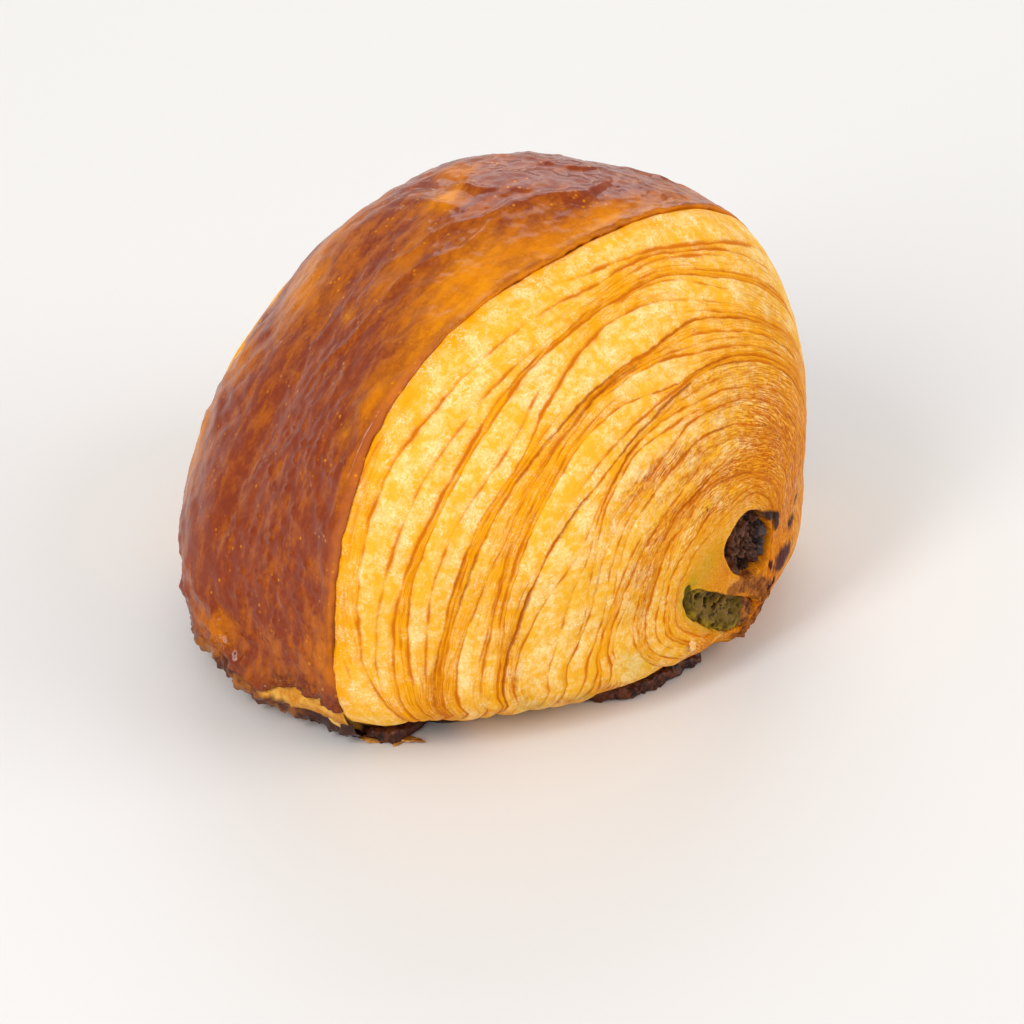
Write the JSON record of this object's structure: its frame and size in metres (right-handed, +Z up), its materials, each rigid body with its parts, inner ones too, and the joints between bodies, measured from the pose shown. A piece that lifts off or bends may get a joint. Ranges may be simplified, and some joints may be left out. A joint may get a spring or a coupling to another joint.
{
  "type": "matcha pain au chocolat",
  "caption": "Rolled laminated pastry with a glossy brown crust, domed cut ends that show their layers, and chocolate and matcha fillings at the middle.",
  "frame": {"origin": "middle of the base, where the pastry rests", "axes": "+X across the roll towards its right foot, +Y along the roll's axis away from the nearer cut end, +Z up"},
  "size_m": [0.1122, 0.1, 0.0733],
  "materials": {
    "layered_dough": "baked dough in pale golden layers with orange-brown lines, satin",
    "glazed_crust": "egg-washed crust, deep reddish brown with orange patches, glossy",
    "dark_chocolate": "baked dark chocolate, crumbly and dull",
    "matcha_paste": "baked matcha paste, olive green to grey-brown, rough",
    "baked_chocolate": "chocolate and caramel baked on under the base, dark, part glossy"
  },
  "bodies": {
    "root": {"pastry": "layered_dough", "chocolate_baton": "dark_chocolate", "matcha_filling": "matcha_paste", "base_chocolate": "baked_chocolate"}
  },
  "joints": []
}
